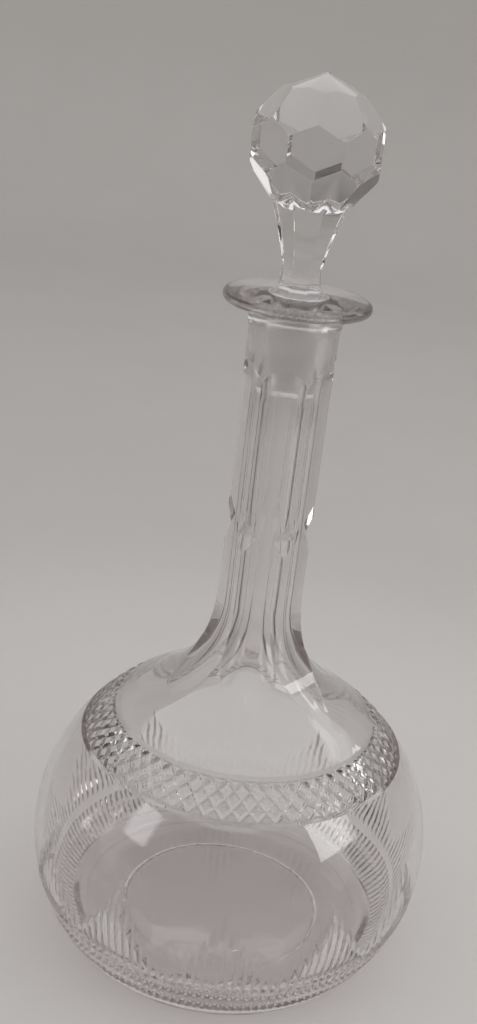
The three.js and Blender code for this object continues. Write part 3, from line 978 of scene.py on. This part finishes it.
def glass_surface_group():
    tree = bpy.data.node_groups.new("Glass surface", "ShaderNodeTree")
    sockets = [
        ("Vector", "INPUT", "NodeSocketVector"), ("Ground", "INPUT", "NodeSocketFloat"),
        ("Rubbed", "INPUT", "NodeSocketFloat"), ("Finger marks", "INPUT", "NodeSocketFloat"),
        ("Wave height", "INPUT", "NodeSocketFloat"), ("Tint", "OUTPUT", "NodeSocketColor"),
        ("Roughness", "OUTPUT", "NodeSocketFloat"), ("Height", "OUTPUT", "NodeSocketFloat")]
    for name, direction, kind in sockets:
        tree.interface.new_socket(name, in_out=direction, socket_type=kind)
    given = tree.nodes.new("NodeGroupInput").outputs
    wanted = tree.nodes.new("NodeGroupOutput").inputs
    place, ground, rubbed = given["Vector"], given["Ground"], given["Rubbed"]

    smears = noise_value(tree, place, scale=34, detail=5, roughness=0.62)
    marks = ramp(tree, smears, low=0.5, high=0.72)
    marks = link_maths(tree, "MULTIPLY", marks, given["Finger marks"])
    scuffs = noise_value(tree, place, scale=1100, detail=4, roughness=0.7)
    worn = link_maths(tree, "MULTIPLY", ramp(tree, scuffs, low=0.35, high=0.6), rubbed)

    roughness = link_maths(tree, "MULTIPLY", ground, GROUND_ROUGHNESS)
    roughness = link_maths(tree, "ADD", roughness, POLISHED_ROUGHNESS)
    roughness = link_maths(tree, "ADD", roughness, marks)
    worn_part = link_maths(tree, "MULTIPLY", worn, WORN_ROUGHNESS)
    tree.links.new(link_maths(tree, "ADD", roughness, worn_part), wanted["Roughness"])

    waves = noise_value(tree, place, scale=46, detail=1)
    height = link_maths(tree, "MULTIPLY", waves, given["Wave height"])
    grain = noise_value(tree, place, scale=1500, detail=3, roughness=0.6)
    matt = link_maths(tree, "MAXIMUM", ground, link_maths(tree, "MULTIPLY", worn, WORN_GRAIN))
    grain = link_maths(tree, "MULTIPLY", link_maths(tree, "MULTIPLY", grain, matt), GRAIN_HEIGHT)
    tree.links.new(link_maths(tree, "ADD", height, grain), wanted["Height"])

    tint = linked_mix(tree, ground, POLISHED_TINT, GROUND_TINT)
    tree.links.new(linked_mix(tree, worn, tint, WORN_TINT), wanted["Tint"])
    return tree


glass_surface = glass_surface_group()
print("group", glass_surface.name, len(glass_surface.nodes), "nodes")

# %% [markdown]
# The glass itself is a Principled BSDF with full transmission, and its cast is
# a Volume Absorption, stronger in the bottle than in the clearer stopper. Real
# glass lets most of a lamp's light through to the table. A renderer finds that
# light only by luck, so the glass is mixed with a clear shader for the rays
# that look for lamps. They pass straight through it, a little weakened, and the
# floor under the decanter gets a soft, clean shadow.

# %% Make the glass
GLASS_IOR = 1.53
CAST = (0.79, 0.765, 0.765, 1)
LAMP_TINT = (0.94, 0.93, 0.935, 1)


def make_glass(name, finger_marks, wave_height, cast_density):
    material = bpy.data.materials.new(name)
    material.use_nodes = True
    tree = material.node_tree
    glass = tree.nodes["Principled BSDF"]
    glass.inputs["Metallic"].default_value = 0
    glass.inputs["Transmission Weight"].default_value = 1
    glass.inputs["IOR"].default_value = GLASS_IOR
    surface = tree.nodes.new("ShaderNodeGroup")
    surface.node_tree = glass_surface
    surface.inputs["Finger marks"].default_value = finger_marks
    surface.inputs["Wave height"].default_value = wave_height
    coordinates = tree.nodes.new("ShaderNodeTexCoord")
    tree.links.new(coordinates.outputs["Object"], surface.inputs["Vector"])
    for mask in (GROUND, RUBBED):
        stored = tree.nodes.new("ShaderNodeAttribute")
        stored.attribute_name = mask
        tree.links.new(stored.outputs["Fac"], surface.inputs[mask.capitalize()])
    bump = tree.nodes.new("ShaderNodeBump")
    bump.inputs["Distance"].default_value = 1
    tree.links.new(surface.outputs["Height"], bump.inputs["Height"])
    tree.links.new(surface.outputs["Tint"], glass.inputs["Base Color"])
    tree.links.new(surface.outputs["Roughness"], glass.inputs["Roughness"])
    tree.links.new(bump.outputs["Normal"], glass.inputs["Normal"])

    clear = tree.nodes.new("ShaderNodeBsdfTransparent")
    clear.inputs["Color"].default_value = LAMP_TINT
    rays = tree.nodes.new("ShaderNodeLightPath")
    lamp_rays = link_maths(
        tree, "MAXIMUM", rays.outputs["Is Shadow Ray"], rays.outputs["Is Diffuse Ray"])
    mix = tree.nodes.new("ShaderNodeMixShader")
    tree.links.new(lamp_rays, mix.inputs["Fac"])
    tree.links.new(glass.outputs["BSDF"], mix.inputs[1])
    tree.links.new(clear.outputs["BSDF"], mix.inputs[2])
    cast = tree.nodes.new("ShaderNodeVolumeAbsorption")
    cast.inputs["Color"].default_value = CAST
    cast.inputs["Density"].default_value = cast_density
    output = tree.nodes["Material Output"]
    tree.links.new(mix.outputs["Shader"], output.inputs["Surface"])
    tree.links.new(cast.outputs["Volume"], output.inputs["Volume"])
    return material


blown_glass = make_glass("Blown glass", finger_marks=0.03, wave_height=0.00012, cast_density=42)
ground_glass = make_glass("Ground glass", finger_marks=0.015, wave_height=0.00003, cast_density=9)
decanter_bottle.data.materials.append(blown_glass)
decanter_stopper.data.materials.append(ground_glass)
print("glass made for", decanter_bottle.name, "and", decanter_stopper.name)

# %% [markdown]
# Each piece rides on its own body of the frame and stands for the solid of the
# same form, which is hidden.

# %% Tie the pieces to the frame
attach(decanter_bottle, "bottle")
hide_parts("bottle")
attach(decanter_stopper, "stopper")
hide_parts("stopper")

# %% [markdown]
# Glass has no colour of its own to show, so it shows its surroundings. The
# stage is one sweep of pale card: a round floor that curves up into a wall all
# round, so that there is a plain pale ground from every side. The card is
# lightest under the decanter. Towards its open top the wall has painted shade
# in its colour, darkest on the left, away from the windows. What the glass bends
# upwards then comes out darker than the floor, and that draws the edges of the
# flutes and gives the ball its light and dark facets. Sizes are in metres.

# %% Floor and backdrop
FLOOR_FLAT = 1.25
WALL_RADIUS = 1.75
WALL_START = 0.55
WALL_HEIGHT = 1.5
MIDDLE_EDGE, MIDDLE_END = 0.18, 0.42
FADE_START, FADE_END = 0.6, 1.2
SHADE_START, SHADE_END = -0.8, 0.1
MIDDLE_TONES = (0.62, 0.595, 0.575, 1), (0.66, 0.635, 0.61, 1)
OUTER_TONES = (0.53, 0.51, 0.49, 1), (0.57, 0.545, 0.525, 1)
# SHADED_TOP and LIT_TOP are painted shade at the top of the wall: dark on the left, lighter on the
# right.
SHADED_TOP = (0.05, 0.04, 0.033, 1)
LIT_TOP = (0.42, 0.405, 0.39, 1)


def make_card():
    material = bpy.data.materials.new("Pale card with painted shade")
    material.use_nodes = True
    tree = material.node_tree
    card = tree.nodes["Principled BSDF"]
    card.inputs["Roughness"].default_value = 0.8
    card.inputs["Specular IOR Level"].default_value = 0.2
    place = tree.nodes.new("ShaderNodeTexCoord").outputs["Object"]
    mottling = noise_value(tree, place, scale=9, detail=5, roughness=0.6)
    middle = linked_mix(tree, mottling, *MIDDLE_TONES)
    outer = linked_mix(tree, mottling, *OUTER_TONES)
    reach = tree.nodes.new("ShaderNodeVectorMath")
    reach.operation = "LENGTH"
    tree.links.new(place, reach.inputs[0])
    outwards = ramp(tree, reach.outputs["Value"], MIDDLE_EDGE, MIDDLE_END)
    card_tone = linked_mix(tree, outwards, middle, outer)
    # The wall darkens upwards, most of all on the left: painted shade in the card's colour.
    parts = tree.nodes.new("ShaderNodeSeparateXYZ")
    tree.links.new(place, parts.inputs["Vector"])
    rightwards = ramp(tree, parts.outputs["X"], SHADE_START, SHADE_END)
    painted_shade_tone = linked_mix(tree, rightwards, SHADED_TOP, LIT_TOP)
    upwards = ramp(tree, parts.outputs["Z"], FADE_START, FADE_END)
    tree.links.new(linked_mix(tree, upwards, card_tone, painted_shade_tone), card.inputs["Base Color"])
    return material


bend_line = [at(FLOOR_FLAT, 0), at(WALL_RADIUS, 0), at(WALL_RADIUS, WALL_START)]
sweep = curve_points(bend_line, steps=16)
stage_mesh = spun([at(0, 0)] + sweep + [at(WALL_RADIUS, WALL_HEIGHT)], columns=96)
for face in stage_mesh.faces:
    face.smooth = True
stage_data = bpy.data.meshes.new("studio_sweep")
stage_mesh.to_mesh(stage_data)
stage_mesh.free()
studio_sweep = bpy.data.objects.new("studio_sweep", stage_data)
bpy.context.scene.collection.objects.link(studio_sweep)
studio_sweep.data.materials.append(make_card())
print("stage", len(stage_data.polygons), "faces, wall", WALL_HEIGHT, "m high")

# %% [markdown]
# Windows light the real decanter from the front left and from the right, and
# show as soft patches on the globe. Here they are soft boxes at the same turns
# and heights. Two weaker ones stand behind on the right, where the side of the
# globe and a lower facet of the ball pick them up. The camera sees only what
# the boxes light, as if they stood outside the picture. Most of the light is
# the even light that falls in through the open top of the stage, as a white
# ceiling would give it.

# %% Light the stage
AIM = Vector((0, 0, 0.12))
SKY_COLOUR = (0.98, 0.99, 1.0, 1)


def soft_box(name, turn, rise, distance, width, height, power):
    """An area lamp that faces the decanter from a turn to the right of the front and a rise."""
    lamp = bpy.data.lights.new(name, "AREA")
    lamp.shape = "RECTANGLE"
    lamp.size, lamp.size_y = width, height
    lamp.energy = power
    holder = bpy.data.objects.new(name, lamp)
    bpy.context.scene.collection.objects.link(holder)
    turn, rise = math.radians(turn), math.radians(rise)
    way = Vector((
        math.sin(turn) * math.cos(rise), -math.cos(turn) * math.cos(rise), math.sin(rise)))
    holder.location = AIM + way * distance
    holder.rotation_mode = "QUATERNION"
    holder.rotation_quaternion = way.to_track_quat("Z", "Y")
    holder.visible_camera = False
    print(name, "at", [round(place, 2) for place in holder.location])


soft_box("left_window", turn=-51.5, rise=21, distance=1.35, width=0.36, height=0.5, power=1.2)
soft_box("right_window", turn=70.5, rise=23.5, distance=1.3, width=0.6, height=0.54, power=3.0)
soft_box("far_window", turn=120, rise=24, distance=1.3, width=0.4, height=0.12, power=0.6)
soft_box("high_window", turn=125, rise=36, distance=1.5, width=0.5, height=0.4, power=0.6)

world = bpy.data.worlds.new("studio_light")
bpy.context.scene.world = world
world.use_nodes = True
sky = world.node_tree.nodes["Background"]
sky.inputs["Color"].default_value = SKY_COLOUR
sky.inputs["Strength"].default_value = 1.0
bpy.context.scene.view_settings.view_transform = "Standard"

# %% [markdown]
# In cut glass a ray crosses and mirrors many times before it comes out. With
# the usual limits such a ray is lost and leaves a black spot where the real
# glass shows its surroundings, so the limits are raised.

# %% Follow light through the cuts
CROSSINGS, MIRRORINGS = 32, 24

paths = bpy.context.scene.cycles
paths.max_bounces = CROSSINGS
paths.transmission_bounces = CROSSINGS
paths.glossy_bounces = MIRRORINGS
print("bounces", paths.max_bounces, paths.glossy_bounces, paths.transmission_bounces)
